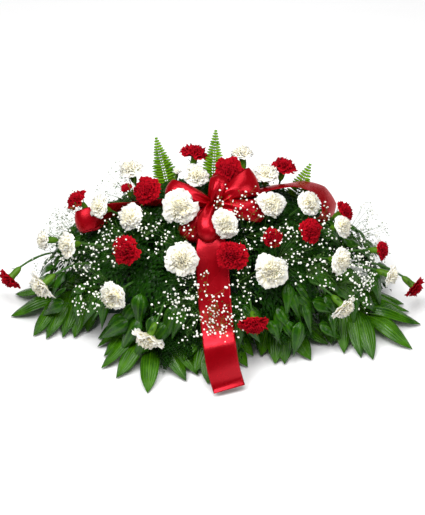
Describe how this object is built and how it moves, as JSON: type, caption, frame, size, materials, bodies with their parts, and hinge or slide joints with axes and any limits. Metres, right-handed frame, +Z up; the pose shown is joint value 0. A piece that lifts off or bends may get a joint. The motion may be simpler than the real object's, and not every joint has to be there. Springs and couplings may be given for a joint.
{
  "type": "casket spray",
  "caption": "Low half-round funeral flower spray: red and white carnations, fern and palm leaves and a red satin bow in a foam-filled tray.",
  "frame": {"origin": "middle of the saddle tray's flat underside, on the surface that the spray lies on", "axes": "+X to the right as seen from the front, where the streamer hangs, -Y towards that front, +Z up"},
  "size_m": [0.9198, 0.6189, 0.384],
  "materials": {
    "white_petals": "matt fresh petals, white with a cream heart",
    "red_petals": "matt velvety fresh petals, crimson",
    "carnation_green": "fresh green stems and calyxes with a waxy bloom",
    "palm_leaf": "glossy dark green fresh leaves",
    "sword_fern": "fresh yellow-green fern",
    "leatherleaf": "fresh dark green fern, slightly glossy",
    "babys_breath": "fresh white florets on fine green twigs",
    "satin_ribbon": "red polyester satin, sheen along the weave",
    "wet_foam": "soaked green floral foam, fine pores",
    "tray_plastic": "dark green moulded plastic"
  },
  "bodies": {
    "root": {"babys_breath_left": "babys_breath", "babys_breath_middle": "babys_breath", "babys_breath_right": "babys_breath", "carnation_stems_left": "carnation_green", "carnation_stems_right": "carnation_green", "floral_foam": "wet_foam", "leatherleaf_back": "leatherleaf", "leatherleaf_front_left": "leatherleaf", "leatherleaf_front_right": "leatherleaf", "palm_frond_back_left": "palm_leaf", "palm_frond_back_right": "palm_leaf", "palm_frond_front": "palm_leaf", "palm_frond_front_left": "palm_leaf", "palm_frond_front_right": "palm_leaf", "palm_frond_left_end": "palm_leaf", "palm_frond_right_end": "palm_leaf", "red_carnation_back_left": "red_petals", "red_carnation_back_top": "red_petals", "red_carnation_crown": "red_petals", "red_carnation_far_left": "red_petals", "red_carnation_far_left_top": "red_petals", "red_carnation_far_right": "red_petals", "red_carnation_far_right_top": "red_petals", "red_carnation_front_centre": "red_petals", "red_carnation_front_low": "red_petals", "red_carnation_front_right_small": "red_petals", "red_carnation_left_front": "red_petals", "red_carnation_left_top": "red_petals", "red_carnation_left_top_bud": "red_petals", "red_carnation_right_end": "red_petals", "red_carnation_right_front": "red_petals", "red_carnation_right_top": "red_petals", "ribbon_bow": "satin_ribbon", "saddle_tray": "tray_plastic", "sword_fern_left": "sword_fern", "sword_fern_middle": "sword_fern", "sword_fern_right": "sword_fern", "white_carnation_back_crown": "white_petals", "white_carnation_back_right": "white_petals", "white_carnation_crown": "white_petals", "white_carnation_crown_bud": "white_petals", "white_carnation_far_left_upper": "white_petals", "white_carnation_front_crown_left": "white_petals", "white_carnation_front_crown_right": "white_petals", "white_carnation_front_hanging": "white_petals", "white_carnation_front_left": "white_petals", "white_carnation_front_left_low": "white_petals", "white_carnation_front_middle": "white_petals", "white_carnation_front_right": "white_petals", "white_carnation_front_right_low": "white_petals", "white_carnation_left_centre": "white_petals", "white_carnation_left_low": "white_petals", "white_carnation_left_shoulder": "white_petals", "white_carnation_left_upper": "white_petals", "white_carnation_right_centre": "white_petals", "white_carnation_right_crown": "white_petals", "white_carnation_right_low": "white_petals", "white_carnation_right_shoulder": "white_petals", "white_carnation_right_upper": "white_petals", "white_carnation_top_left": "white_petals"}
  },
  "joints": []
}
